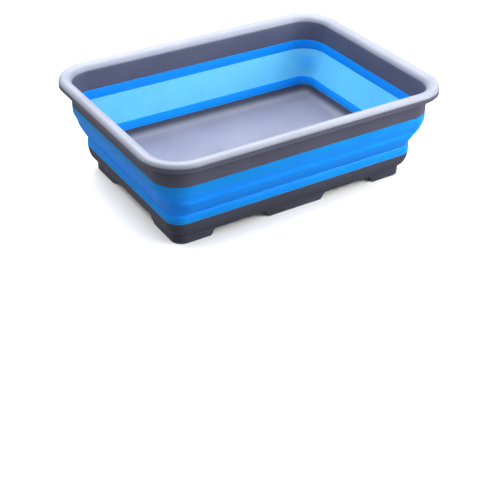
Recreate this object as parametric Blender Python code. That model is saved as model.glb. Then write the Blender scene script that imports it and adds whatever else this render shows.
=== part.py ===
"""Collapsible wash basin with a rigid rim, a folding elastomer wall and a rigid tray.

The basin stands on the XY plane, its long sides run along X, and the Z axis through its
middle is the axis along which it collapses. Every ring of the basin is a rounded rectangle
that lies parallel to the outline of the rim: it is described by its offset inward from that
outline, its height above the ground, and the radius of its corners. All sizes are in metres.
"""

import math

import bmesh
import bpy
from mathutils import Vector

# Plan of the open basin's rim
RIM_LENGTH = 0.370
RIM_WIDTH = 0.270
RIM_CORNER_RADIUS = 0.045
MIN_CORNER_RADIUS = 0.002

# Heights, stacked from the ground up to the top of the rim
SKIRT_CLEARANCE = 0.0073
FLOOR_HEIGHT = 0.017
TRAY_DEPTH = 0.0133
LOWER_BAND_HEIGHT = 0.0109
FOLD_HEIGHT = 0.0318
UPPER_BAND_HEIGHT = 0.010
RIM_DEPTH = 0.033
TRAY_WALL_TOP = FLOOR_HEIGHT + TRAY_DEPTH
LOWER_HINGE_HEIGHT = TRAY_WALL_TOP + LOWER_BAND_HEIGHT
UPPER_HINGE_HEIGHT = LOWER_HINGE_HEIGHT + FOLD_HEIGHT
RIM_WALL_BOTTOM = UPPER_HINGE_HEIGHT + UPPER_BAND_HEIGHT
RIM_HEIGHT = RIM_WALL_BOTTOM + RIM_DEPTH

# Rim frame: a rolled flange, its hanging lip and an upright wall
WALL_THICKNESS = 0.0025
FLANGE_OUTER_RADIUS = 0.0050
FLANGE_INNER_RADIUS = 0.010
FLANGE_FLAT = 0.0001
LIP_DEPTH = 0.010
LIP_BEAD_HEIGHT = 0.0014
LIP_BEAD_PROUD = 0.0004
FLANGE_WIDTH = LIP_BEAD_PROUD + FLANGE_OUTER_RADIUS + FLANGE_FLAT + FLANGE_INNER_RADIUS
WALL_OFFSET = FLANGE_WIDTH - WALL_THICKNESS

# Moulded-in tongues that hold the elastomer to the rigid mouldings, and the slant of the joint
TONGUE_THICKNESS = 0.0009
TONGUE_DEPTH = 0.004
NODE_GAP = 0.0003
RIM_JOINT_SLANT = 0.0015
TRAY_JOINT_SLANT = 0.0008

# Folding wall: its inward run, its crease half way down and its softer corners
FOLD_RUN = 0.014
FOLD_CORNER_EASE = 0.004
NOTCH_DEPTH = 0.0009
BAND_EDGE_RADIUS = 0.0010
CREASE_HEIGHT = 0.0145
CREASE_TOP_HEIGHT = (UPPER_HINGE_HEIGHT + LOWER_HINGE_HEIGHT + CREASE_HEIGHT) / 2
CREASE_BOTTOM_HEIGHT = CREASE_TOP_HEIGHT - CREASE_HEIGHT

# Tray: floor, rounded underside and skirt
TRAY_WALL_OFFSET = WALL_OFFSET + FOLD_RUN
TRAY_WALL_EDGE = 0.0033
FLOOR_THICKNESS = 0.0022
FLOOR_FILLET_RADIUS = 0.011
FLOOR_CORNER_EASE = 0.003
UNDERSIDE_RUN = 0.0082
SKIRT_DROP = 0.004
SKIRT_DRAFT = 0.0006
SKIRT_THICKNESS = 0.0026
SKIRT_CORNER_EASE = 0.004
UNDERSIDE_TOP = TRAY_WALL_TOP - TRAY_WALL_EDGE
SKIRT_OFFSET = TRAY_WALL_OFFSET + UNDERSIDE_RUN
SKIRT_TOP = FLOOR_HEIGHT - SKIRT_DROP

# Feet: one in the middle of each long side and one round each corner, with sloping ends
FOOT_DEPTH = 0.0070
MIDDLE_FOOT_HALF_LENGTH = 0.033
CORNER_FOOT_LONG = 0.027
CORNER_FOOT_SHORT = 0.034
FOOT_SLOPE_LONG = 0.007
FOOT_SLOPE_SHORT = 0.013
CORNER_INSET = RIM_CORNER_RADIUS + SKIRT_CORNER_EASE
CORNER_FOOT_START_LONG = RIM_LENGTH / 2 - CORNER_INSET - CORNER_FOOT_LONG
CORNER_FOOT_START_SHORT = RIM_WIDTH / 2 - CORNER_INSET - CORNER_FOOT_SHORT

# Outer face of the folding wall, from the rim's lower edge down to the lower hinge, as shares
# of its inward run and of its drop: an upper lobe, a crease with a small ledge, a lower lobe
FOLD_OUTER_SHARES = (
    (0.00, 0.00), (0.01, 0.14), (0.06, 0.27), (0.17, 0.38), (0.31, 0.455), (0.45, 0.515),
    (0.49, 0.536), (0.475, 0.556), (0.49, 0.61), (0.55, 0.695), (0.66, 0.785), (0.79, 0.875),
    (0.91, 0.950), (1.00, 1.00),
)
# Inner face of the folding panel, from the upper hinge down to the lower hinge, likewise
FOLD_INNER_SHARES = (
    (0.00, 0.00), (0.14, 0.12), (0.28, 0.25), (0.42, 0.37), (0.51, 0.49), (0.61, 0.605),
    (0.73, 0.72), (0.85, 0.845), (1.00, 1.00),
)

CORNER_SEGMENTS = 10
ROLL_SEGMENTS = 5
FILLET_SEGMENTS = 5
EDGE_SEGMENTS = 3
SHARP_ANGLE_DEG = 35

# Colours as linear RGB, with roughness
RIM_COLOUR = (0.090, 0.093, 0.125)
RIM_ROUGHNESS = 0.42
BAND_COLOUR = (0.008, 0.190, 0.800)
BAND_ROUGHNESS = 0.50
PANEL_COLOUR = (0.060, 0.400, 0.930)
PANEL_ROUGHNESS = 0.45
TRAY_COLOUR = (0.075, 0.078, 0.105)
TRAY_ROUGHNESS = 0.48


def clear_scene():
    """Remove every object that the new file holds."""
    for obj in list(bpy.data.objects):
        bpy.data.objects.remove(obj, do_unlink=True)


def make_material(name, colour, roughness):
    """Return a plain Principled material."""
    material = bpy.data.materials.new(name)
    material.use_nodes = True
    shader = material.node_tree.nodes["Principled BSDF"]
    shader.inputs["Base Color"].default_value = (*colour, 1.0)
    shader.inputs["Roughness"].default_value = roughness
    shader.inputs["Metallic"].default_value = 0.0
    return material


def arc(centre, radius, start_deg, end_deg, segments, rise=None):
    """Return points (offset, height) of an arc about a centre; rise stretches it upward."""
    height_radius = radius if rise is None else rise
    points = []
    for step in range(segments + 1):
        angle = math.radians(start_deg + (end_deg - start_deg) * step / segments)
        points.append((centre[0] + radius * math.cos(angle),
                       centre[1] + height_radius * math.sin(angle)))
    return points


def along(table, start, end):
    """Turn a table of shares into points between two (offset, height) ends."""
    return [(start[0] + (end[0] - start[0]) * across, start[1] + (end[1] - start[1]) * down)
            for across, down in table]


def offset_at(points, height):
    """Return the offset of a falling line of points at one height, or of its nearer end."""
    for upper, lower in zip(points, points[1:]):
        if upper[1] >= height >= lower[1]:
            share = (upper[1] - height) / (upper[1] - lower[1])
            return upper[0] + (lower[0] - upper[0]) * share
    return points[0][0] if height > points[0][1] else points[-1][0]


def cut(points, top, bottom):
    """Return the stretch of a falling line of points between two heights."""
    inside = [point for point in points if top > point[1] > bottom]
    return [(offset_at(points, top), top), *inside, (offset_at(points, bottom), bottom)]


def foot_stations():
    """Return the places where foot slopes start and end, on a long and on a short side."""
    half = MIDDLE_FOOT_HALF_LENGTH
    long_side = [CORNER_FOOT_START_LONG, CORNER_FOOT_START_LONG - FOOT_SLOPE_LONG,
                 half + FOOT_SLOPE_LONG, half]
    short_side = [CORNER_FOOT_START_SHORT, CORNER_FOOT_START_SHORT - FOOT_SLOPE_SHORT]
    return long_side, short_side


def foot_share(place):
    """Return 1 where a point of the skirt belongs to a foot and 0 between the feet."""
    kind, first, second, _ = place
    if kind == "long":
        on_foot = abs(first) <= MIDDLE_FOOT_HALF_LENGTH or abs(first) >= CORNER_FOOT_START_LONG
    elif kind == "short":
        on_foot = abs(second) >= CORNER_FOOT_START_SHORT
    else:
        on_foot = True
    return 1.0 if on_foot else 0.0


def outline_places(with_feet):
    """List the places round one ring: arcs at the corners and foot stations on the sides."""
    long_side, short_side = foot_stations() if with_feet else ([], [])
    quarters = ((1, 1, "long"), (-1, 1, "short"), (-1, -1, "long"), (1, -1, "short"))
    places = []
    for index, (side_x, side_y, following) in enumerate(quarters):
        for step in range(CORNER_SEGMENTS + 1):
            places.append(("corner", side_x, side_y, index * 90 + 90 * step / CORNER_SEGMENTS))
        if following == "long":
            spots = [side_x * d for d in long_side] + [-side_x * d for d in reversed(long_side)]
            places.extend(("long", spot, side_y, 0) for spot in spots)
        else:
            spots = [side_y * d for d in short_side] + [-side_y * d for d in reversed(short_side)]
            places.extend(("short", side_x, spot, 0) for spot in spots)
    return places


def place_point(place, offset, corner_radius):
    """Return the plan position of one place on the ring at an offset."""
    kind, first, second, angle = place
    half_length = RIM_LENGTH / 2 - offset
    half_width = RIM_WIDTH / 2 - offset
    if kind == "long":
        return first, second * half_width
    if kind == "short":
        return first * half_length, second
    turn = math.radians(angle)
    return (first * (half_length - corner_radius) + corner_radius * math.cos(turn),
            second * (half_width - corner_radius) + corner_radius * math.sin(turn))


def add_ring(mesh, level, places):
    """Add one ring of vertices; a level is (offset, height, corner ease, place on a foot)."""
    offset, height, ease = level[:3]
    foot_level = level[3] if len(level) > 3 else (offset, height)
    verts = []
    for place in places:
        share = foot_share(place)
        here = offset + (foot_level[0] - offset) * share
        rise = height + (foot_level[1] - height) * share
        radius = max(RIM_CORNER_RADIUS - here + ease, MIN_CORNER_RADIUS)
        x, y = place_point(place, here, radius)
        verts.append(mesh.verts.new((x, y, rise)))
    return verts


def join_rings(mesh, one, other):
    """Bridge two rings that have the same number of vertices."""
    count = len(one)
    for index in range(count):
        following = (index + 1) % count
        mesh.faces.new((one[index], one[following], other[following], other[index]))


def new_piece(name, mesh, material, carrier, height):
    """Turn a bmesh into an object whose origin stands on the collapse axis."""
    bmesh.ops.recalc_face_normals(mesh, faces=mesh.faces)
    bmesh.ops.translate(mesh, verts=mesh.verts, vec=Vector((0, 0, -height)))
    data = bpy.data.meshes.new(name)
    mesh.to_mesh(data)
    mesh.free()
    data.shade_smooth()
    data.set_sharp_from_angle(angle=math.radians(SHARP_ANGLE_DEG))
    data.materials.append(material)
    piece = bpy.data.objects.new(name, data)
    bpy.context.scene.collection.objects.link(piece)
    piece.parent = carrier
    piece.location = (0, 0, height - (carrier.location.z if carrier else 0))
    return piece


def sweep_closed(name, levels, material, carrier, height, with_feet=False):
    """Sweep a closed section round the basin; the piece is a ring."""
    mesh = bmesh.new()
    places = outline_places(with_feet)
    rings = [add_ring(mesh, level, places) for level in levels]
    for one, other in zip(rings, rings[1:] + rings[:1]):
        join_rings(mesh, one, other)
    return new_piece(name, mesh, material, carrier, height)


def with_ease(points, ease=0.0):
    """Give every point of a section the same corner ease."""
    return [(offset, height, ease) for offset, height in points]


def fold_ease(height):
    """Return how much wider the wall's corners are rounded at a height between the hinges."""
    share = (height - LOWER_HINGE_HEIGHT) / (UPPER_HINGE_HEIGHT - LOWER_HINGE_HEIGHT)
    return FOLD_CORNER_EASE * math.sin(math.pi * min(max(share, 0.0), 1.0))


def fold_outer_line():
    """Return the outer face of the folding wall as (offset, height) points."""
    start = (WALL_OFFSET, RIM_WALL_BOTTOM)
    end = (TRAY_WALL_OFFSET + NOTCH_DEPTH, LOWER_HINGE_HEIGHT)
    return along(FOLD_OUTER_SHARES, start, end)


def fold_inner_line():
    """Return the inner face of the folding wall as (offset, height) points."""
    start = (WALL_OFFSET + WALL_THICKNESS, UPPER_HINGE_HEIGHT)
    end = (TRAY_WALL_OFFSET + WALL_THICKNESS, LOWER_HINGE_HEIGHT - BAND_EDGE_RADIUS)
    return along(FOLD_INNER_SHARES, start, end)


def tongue_levels(offset, height, slant, direction):
    """Return the points of an edge with a tongue, from the outer face to the inner face."""
    near = offset + (WALL_THICKNESS - TONGUE_THICKNESS) / 2
    far = near + TONGUE_THICKNESS
    slope = slant / WALL_THICKNESS
    near_height = height + slope * (near - offset)
    far_height = height + slope * (far - offset)
    tip = near_height + direction * TONGUE_DEPTH
    return [(offset, height), (near, near_height), (near, tip), (far, tip),
            (far, far_height), (offset + WALL_THICKNESS, height + slant)]


def groove_levels(offset, height, slant, direction):
    """Return the edge that meets a tongue, with a running gap all round it."""
    near = offset + (WALL_THICKNESS - TONGUE_THICKNESS) / 2 - NODE_GAP
    far = near + TONGUE_THICKNESS + 2 * NODE_GAP
    shift = direction * NODE_GAP
    slope = slant / WALL_THICKNESS
    near_height = height + slope * (near - offset) + shift
    far_height = height + slope * (far - offset) + shift
    root = near_height + direction * TONGUE_DEPTH + shift
    return [(offset, height + shift), (near, near_height), (near, root), (far, root),
            (far, far_height), (offset + WALL_THICKNESS, height + slant + shift)]


def build_rim_frame(material, carrier):
    """Build the rolled flange with its hanging lip and the wall below it."""
    lip_face = LIP_BEAD_PROUD
    outer_centre = (lip_face + FLANGE_OUTER_RADIUS, RIM_HEIGHT - FLANGE_OUTER_RADIUS)
    inner_offset = WALL_OFFSET + WALL_THICKNESS
    inner_centre = (inner_offset - FLANGE_INNER_RADIUS, RIM_HEIGHT - FLANGE_INNER_RADIUS)
    lip_bottom = RIM_HEIGHT - LIP_DEPTH
    lip_inner = lip_face + WALL_THICKNESS
    section = [(0, lip_bottom + LIP_BEAD_HEIGHT / 2), (lip_face, lip_bottom + LIP_BEAD_HEIGHT)]
    section += arc(outer_centre, FLANGE_OUTER_RADIUS, 180, 90, ROLL_SEGMENTS)
    section += arc(inner_centre, FLANGE_INNER_RADIUS, 90, 0, ROLL_SEGMENTS)
    edge = tongue_levels(WALL_OFFSET, RIM_WALL_BOTTOM, RIM_JOINT_SLANT, -1)
    section += reversed(edge)
    under_outer = FLANGE_OUTER_RADIUS - WALL_THICKNESS
    under_inner = FLANGE_INNER_RADIUS - WALL_THICKNESS
    section += arc(inner_centre, under_inner, 0, 90, ROLL_SEGMENTS)
    section += arc(outer_centre, under_outer, 90, 180, ROLL_SEGMENTS)
    section += [(lip_inner, lip_bottom), (lip_face, lip_bottom)]
    return sweep_closed("rim_frame", with_ease(section), material, carrier, lip_bottom)


def build_upper_wall_band(material, carrier):
    """Build the thick upper band of the elastomer, held by the rim's tongue."""
    edge = groove_levels(WALL_OFFSET, RIM_WALL_BOTTOM, RIM_JOINT_SLANT, -1)
    top = edge[0][1]
    bottom = UPPER_HINGE_HEIGHT
    outer = cut(fold_outer_line(), top, bottom)
    section = [*reversed(edge[1:]), *outer, (WALL_OFFSET + WALL_THICKNESS, bottom)]
    return sweep_closed("upper_wall_band", with_ease(section), material, carrier, bottom)


def build_fold_piece(name, top, bottom, material, carrier):
    """Build one stretch of the folding wall between two heights."""
    outer = cut(fold_outer_line(), top, bottom)
    inner = cut(fold_inner_line(), top, bottom)
    levels = [(offset, height, fold_ease(height)) for offset, height in outer]
    levels += [(offset, height, fold_ease(height)) for offset, height in reversed(inner)]
    return sweep_closed(name, levels, material, carrier, bottom)


def build_lower_wall_band(material, carrier):
    """Build the thick lower band of the elastomer, held by the tongue of the tray."""
    edge = groove_levels(TRAY_WALL_OFFSET, TRAY_WALL_TOP, -TRAY_JOINT_SLANT, 1)
    top = LOWER_HINGE_HEIGHT - NODE_GAP
    outer = TRAY_WALL_OFFSET
    inner = TRAY_WALL_OFFSET + WALL_THICKNESS
    section = list(edge)
    section += [(inner, top - BAND_EDGE_RADIUS), (inner - BAND_EDGE_RADIUS / 2, top)]
    edge_centre = (outer + BAND_EDGE_RADIUS, top - BAND_EDGE_RADIUS)
    section += arc(edge_centre, BAND_EDGE_RADIUS, 90, 180, EDGE_SEGMENTS)
    return sweep_closed("lower_wall_band", with_ease(section), material, carrier, edge[0][1])


def build_base_tray(material):
    """Build the rigid tray: wall, rounded underside, skirt, feet and floor."""
    inner_offset = TRAY_WALL_OFFSET + WALL_THICKNESS
    radius = min(FLOOR_FILLET_RADIUS, TRAY_DEPTH - TRAY_JOINT_SLANT - BAND_EDGE_RADIUS)
    fillet_centre = (inner_offset + radius, FLOOR_HEIGHT + radius)
    fillet = arc(fillet_centre, radius, 270, 180, FILLET_SEGMENTS)
    levels = []
    for step, (offset, height) in enumerate(fillet):
        ease = FLOOR_CORNER_EASE * (1 - step / FILLET_SEGMENTS)
        levels.append((offset, height, ease))
    edge = tongue_levels(TRAY_WALL_OFFSET, TRAY_WALL_TOP, -TRAY_JOINT_SLANT, 1)
    levels += with_ease(reversed(edge))
    round_centre = (SKIRT_OFFSET, UNDERSIDE_TOP)
    rounding = arc(round_centre, SKIRT_OFFSET - TRAY_WALL_OFFSET, 180, 270, FILLET_SEGMENTS,
                   UNDERSIDE_TOP - SKIRT_TOP)
    for step, (offset, height) in enumerate(rounding):
        levels.append((offset, height, SKIRT_CORNER_EASE * step / FILLET_SEGMENTS))
    skirt_foot = SKIRT_OFFSET + SKIRT_DRAFT
    skirt_inner = skirt_foot + SKIRT_THICKNESS
    foot_inner = skirt_foot + FOOT_DEPTH
    underside = FLOOR_HEIGHT - FLOOR_THICKNESS
    levels += [
        (skirt_foot, SKIRT_CLEARANCE, SKIRT_CORNER_EASE, (skirt_foot, 0)),
        (skirt_inner, SKIRT_CLEARANCE, SKIRT_CORNER_EASE, (foot_inner, 0)),
        (skirt_inner, underside, SKIRT_CORNER_EASE, (foot_inner, underside)),
    ]
    mesh = bmesh.new()
    places = outline_places(True)
    rings = [add_ring(mesh, level, places) for level in levels]
    for one, other in zip(rings, rings[1:]):
        join_rings(mesh, one, other)
    mesh.faces.new(rings[0])
    mesh.faces.new(rings[-1])
    return new_piece("base_tray", mesh, material, None, 0)


def add_carrier(name, height):
    """Add an empty on the collapse axis, at the height of the ring it carries."""
    carrier = bpy.data.objects.new(name, None)
    carrier.location = (0, 0, height)
    carrier.empty_display_size = RIM_CORNER_RADIUS
    bpy.context.scene.collection.objects.link(carrier)
    return carrier


def main():
    """Build the basin from its rim down to its tray."""
    clear_scene()
    rim_plastic = make_material("rim_plastic", RIM_COLOUR, RIM_ROUGHNESS)
    band_elastomer = make_material("band_elastomer", BAND_COLOUR, BAND_ROUGHNESS)
    panel_elastomer = make_material("panel_elastomer", PANEL_COLOUR, PANEL_ROUGHNESS)
    tray_plastic = make_material("tray_plastic", TRAY_COLOUR, TRAY_ROUGHNESS)
    rim_carrier = add_carrier("rim_carrier", UPPER_HINGE_HEIGHT)
    crease_carrier = add_carrier("crease_carrier", CREASE_BOTTOM_HEIGHT)
    build_rim_frame(rim_plastic, rim_carrier)
    build_upper_wall_band(band_elastomer, rim_carrier)
    build_fold_piece("upper_fold_panel", UPPER_HINGE_HEIGHT - NODE_GAP,
                     CREASE_TOP_HEIGHT + NODE_GAP, panel_elastomer, rim_carrier)
    build_fold_piece("mid_wall_crease", CREASE_TOP_HEIGHT, CREASE_BOTTOM_HEIGHT,
                     band_elastomer, crease_carrier)
    build_fold_piece("lower_fold_panel", CREASE_BOTTOM_HEIGHT - NODE_GAP,
                     LOWER_HINGE_HEIGHT, panel_elastomer, None)
    build_lower_wall_band(band_elastomer, None)
    build_base_tray(tray_plastic)


main()
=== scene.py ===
"""Looks of a collapsible wash basin: a rolled rim, a folding elastomer wall and a tray on feet.

Every ring of the basin is a rounded rectangle that lies parallel to the outline of the rim. It is
described by its offset inward from that outline, its height above the ground and the ease of its
corners, and each moulding is lofted from such rings. Sizes are in metres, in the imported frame.
"""

import logging
import math
from dataclasses import dataclass
from enum import Enum

import bmesh
import bpy
from mathutils import Matrix, Vector


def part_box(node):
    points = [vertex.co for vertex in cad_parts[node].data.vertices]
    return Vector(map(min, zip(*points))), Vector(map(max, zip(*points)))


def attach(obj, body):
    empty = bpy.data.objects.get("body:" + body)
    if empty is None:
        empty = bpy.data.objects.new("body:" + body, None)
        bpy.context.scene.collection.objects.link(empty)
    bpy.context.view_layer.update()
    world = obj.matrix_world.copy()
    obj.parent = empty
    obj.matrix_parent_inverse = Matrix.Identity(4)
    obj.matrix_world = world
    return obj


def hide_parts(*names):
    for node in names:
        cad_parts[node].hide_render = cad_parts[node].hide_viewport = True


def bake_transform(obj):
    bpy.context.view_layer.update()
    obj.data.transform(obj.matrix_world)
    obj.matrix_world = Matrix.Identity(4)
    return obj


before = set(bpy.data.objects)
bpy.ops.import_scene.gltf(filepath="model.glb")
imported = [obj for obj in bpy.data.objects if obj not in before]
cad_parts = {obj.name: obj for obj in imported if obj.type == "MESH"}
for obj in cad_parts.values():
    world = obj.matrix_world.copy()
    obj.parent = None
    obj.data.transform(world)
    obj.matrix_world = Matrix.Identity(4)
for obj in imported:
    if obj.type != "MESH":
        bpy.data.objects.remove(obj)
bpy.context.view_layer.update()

LOG = logging.getLogger("wash_basin")
SHARP_ANGLE = math.radians(35)

Point = tuple[float, float]
Row = tuple[float, ...]
Colour = tuple[float, float, float]
WHITE: Colour = (1.0, 1.0, 1.0)


class Side(Enum):
    """The pair of opposite sides of the basin that a gap between feet cuts through."""

    LONG = "long"
    SHORT = "short"


class Grain(Enum):
    """How the mould's surface was finished, as the size of its grain in metres."""

    SATIN = 0.0005
    FINE = 0.0009
    SOFT_TOUCH = 0.0004


@dataclass(frozen=True)
class Ring:
    """One rounded rectangle of a section: its offset from the rim's outline, height and ease."""

    offset: float
    height: float
    ease: float = 0.0


@dataclass(frozen=True)
class Plan:
    """The plan of the basin that all rings follow."""

    length: float
    width: float
    corner_radius: float = 0.045
    least_corner_radius: float = 0.002
    corner_steps: int = 32

    def outline(self, ring: Ring) -> tuple[float, float, float]:
        """Work out the plan of one ring.

        Args:
            ring: the ring.

        Returns:
            Its length, its width and its corner radius.
        """
        radius = self.corner_radius - ring.offset + ring.ease
        return (self.length - 2 * ring.offset, self.width - 2 * ring.offset,
                max(radius, self.least_corner_radius))


def arc(centre: Point, radius: float, start: float, end: float, steps: int,
        rise: float | None = None) -> list[Point]:
    """Return points on an arc of a section.

    Args:
        centre: offset and height of the centre.
        radius: radius along the offset.
        start: first angle in degrees, where 180 points out of the basin and 90 points up.
        end: last angle in degrees.
        steps: how many stretches the arc has.
        rise: radius along the height, or None for a round arc.

    Returns:
        The points as (offset, height), both ends among them.
    """
    height_radius = radius if rise is None else rise
    points = []
    for step in range(steps + 1):
        angle = math.radians(start + (end - start) * step / steps)
        points.append((centre[0] + radius * math.cos(angle),
                       centre[1] + height_radius * math.sin(angle)))
    return points


def flowing(points: list[Row], steps: int) -> list[Row]:
    """Run a smooth line through points.

    Args:
        points: the points in order, as rows of two or more numbers.
        steps: how many stretches lie between each two points.

    Returns:
        The rows of the line, which passes through every point.
    """
    padded = [points[0], *points, points[-1]]
    line = []
    for before, first, second, after in zip(padded, padded[1:], padded[2:], padded[3:]):
        for step in range(steps):
            t = step / steps
            line.append(tuple(
                0.5 * (2 * b + (c - a) * t + (2 * a - 5 * b + 4 * c - d) * t * t
                       + (3 * b - a - 3 * c + d) * t * t * t)
                for a, b, c, d in zip(before, first, second, after)))
    return [*line, points[-1]]


def beside(line: list[Point], distance: float) -> list[Point]:
    """Run a line beside another, on its right hand.

    Args:
        line: the points of the other line.
        distance: how far apart the two lines are.

    Returns:
        The points of the new line, one for each of the other's.
    """
    result = []
    for index, (offset, height) in enumerate(line):
        before = line[max(index - 1, 0)]
        after = line[min(index + 1, len(line) - 1)]
        run = after[0] - before[0]
        rise = after[1] - before[1]
        length = math.hypot(run, rise)
        result.append((offset + distance * rise / length, height - distance * run / length))
    return result


def between(table: tuple[Point, ...], start: Point, end: Point) -> list[Point]:
    """Turn a table of shares into points between two ends of a section."""
    return [(start[0] + (end[0] - start[0]) * across, start[1] + (end[1] - start[1]) * down)
            for across, down in table]


def smooth_step(low: float, high: float, value: float) -> float:
    """Return 0 below low, 1 above high and a soft ramp between them."""
    share = min(max((value - low) / (high - low), 0.0), 1.0)
    return share * share * (3 - 2 * share)


class Loft:
    """A closed mesh that grows ring by ring in edit mode.

    Rings can't be bridged well while they lie in one plane, so each ring starts at a height of its
    own and settles to its true height when all rings are joined.
    """

    RING_LAYER = "ring"
    SPREAD = 0.05

    def __init__(self, name: str, plan: Plan) -> None:
        """Start an empty mesh object.

        Args:
            name: the name of the piece.
            plan: the plan that its rings follow.
        """
        bpy.ops.object.select_all(action="DESELECT")
        bpy.ops.mesh.primitive_plane_add(size=1, location=(0, 0, 0), enter_editmode=True)
        self.piece = bpy.context.object
        self.piece.name = name
        self.piece.data.name = name
        self.plan = plan
        self.heights = []
        bpy.ops.mesh.delete(type="VERT")
        mesh = bmesh.from_edit_mesh(self.piece.data)
        mesh.verts.layers.int.new(self.RING_LAYER)

    def number_new_ring(self) -> None:
        """Write the number of the newest ring on its vertices, which have none yet."""
        mesh = bmesh.from_edit_mesh(self.piece.data)
        layer = mesh.verts.layers.int[self.RING_LAYER]
        for vert in mesh.verts:
            if vert[layer] == 0:
                vert[layer] = len(self.heights)

    def select_rings(self, *numbers: int) -> None:
        """Select some rings, and nothing else.

        Args:
            numbers: the numbers of the rings, of which the first is 1.
        """
        mesh = bmesh.from_edit_mesh(self.piece.data)
        layer = mesh.verts.layers.int[self.RING_LAYER]
        bpy.ops.mesh.select_all(action="DESELECT")
        for vert in mesh.verts:
            vert.select = vert[layer] in numbers
        mesh.select_flush(True)
        bmesh.update_edit_mesh(self.piece.data)

    def add(self, ring: Ring) -> None:
        """Add a ring and bridge it to the one before it.

        Args:
            ring: the ring.
        """
        length, width, radius = self.plan.outline(ring)
        place = (0, 0, len(self.heights) * self.SPREAD)
        bpy.ops.mesh.select_all(action="DESELECT")
        bpy.ops.mesh.primitive_plane_add(size=1, location=place)
        bpy.ops.transform.resize(value=(length, width, 1), center_override=place)
        bpy.ops.mesh.bevel(offset=radius, segments=self.plan.corner_steps, affect="VERTICES")
        bpy.ops.mesh.delete(type="ONLY_FACE")
        self.heights.append(ring.height)
        self.number_new_ring()
        newest = len(self.heights)
        if newest > 1:
            self.bridge(newest - 1, newest)

    def bridge(self, one: int, other: int) -> None:
        """Join two rings with a belt of faces."""
        self.select_rings(one, other)
        bpy.ops.mesh.bridge_edge_loops()

    def close_round(self) -> None:
        """Join the last ring to the first, for a piece that is a ring itself."""
        self.bridge(len(self.heights), 1)

    def close_ends(self) -> None:
        """Fill the first and the last ring, for a piece with a floor."""
        for number in (1, len(self.heights)):
            self.select_rings(number)
            bpy.ops.mesh.edge_face_add()

    def settle(self) -> None:
        """Move every ring to its true height."""
        for index, height in enumerate(self.heights):
            self.select_rings(index + 1)
            bpy.ops.transform.translate(value=(0, 0, height - index * self.SPREAD))

    def done(self) -> bpy.types.Object:
        """Turn all faces outward, leave edit mode and shade the piece.

        Returns:
            The finished object, which stands at the origin.
        """
        self.settle()
        bpy.ops.mesh.select_all(action="SELECT")
        bpy.ops.mesh.normals_make_consistent(inside=False)
        bpy.ops.object.mode_set(mode="OBJECT")
        bpy.ops.object.shade_smooth_by_angle(angle=SHARP_ANGLE)
        return self.piece


def loft(name: str, plan: Plan, rings: list[Ring], closed: bool) -> bpy.types.Object:
    """Make a piece from its rings.

    Args:
        name: the name of the piece.
        plan: the plan that the rings follow.
        rings: the rings in order.
        closed: True where the last ring joins the first, False where both ends are filled.

    Returns:
        The finished object.
    """
    work = Loft(name, plan)
    for ring in rings:
        work.add(ring)
    if closed:
        work.close_round()
    else:
        work.close_ends()
    return work.done()


def write_shares(piece: bpy.types.Object, name: str, shares: list[float]) -> None:
    """Write one number per ring on a piece, for its material to read.

    Args:
        piece: a lofted piece whose vertices still know their ring.
        name: the name of the attribute.
        shares: the number of each ring, in the order of the rings.
    """
    piece.data.attributes.new(name, "FLOAT", "POINT")
    rings = piece.data.attributes[Loft.RING_LAYER].data
    values = piece.data.attributes[name].data
    for ring, value in zip(rings, values):
        value.value = shares[ring.value - 1]


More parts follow.
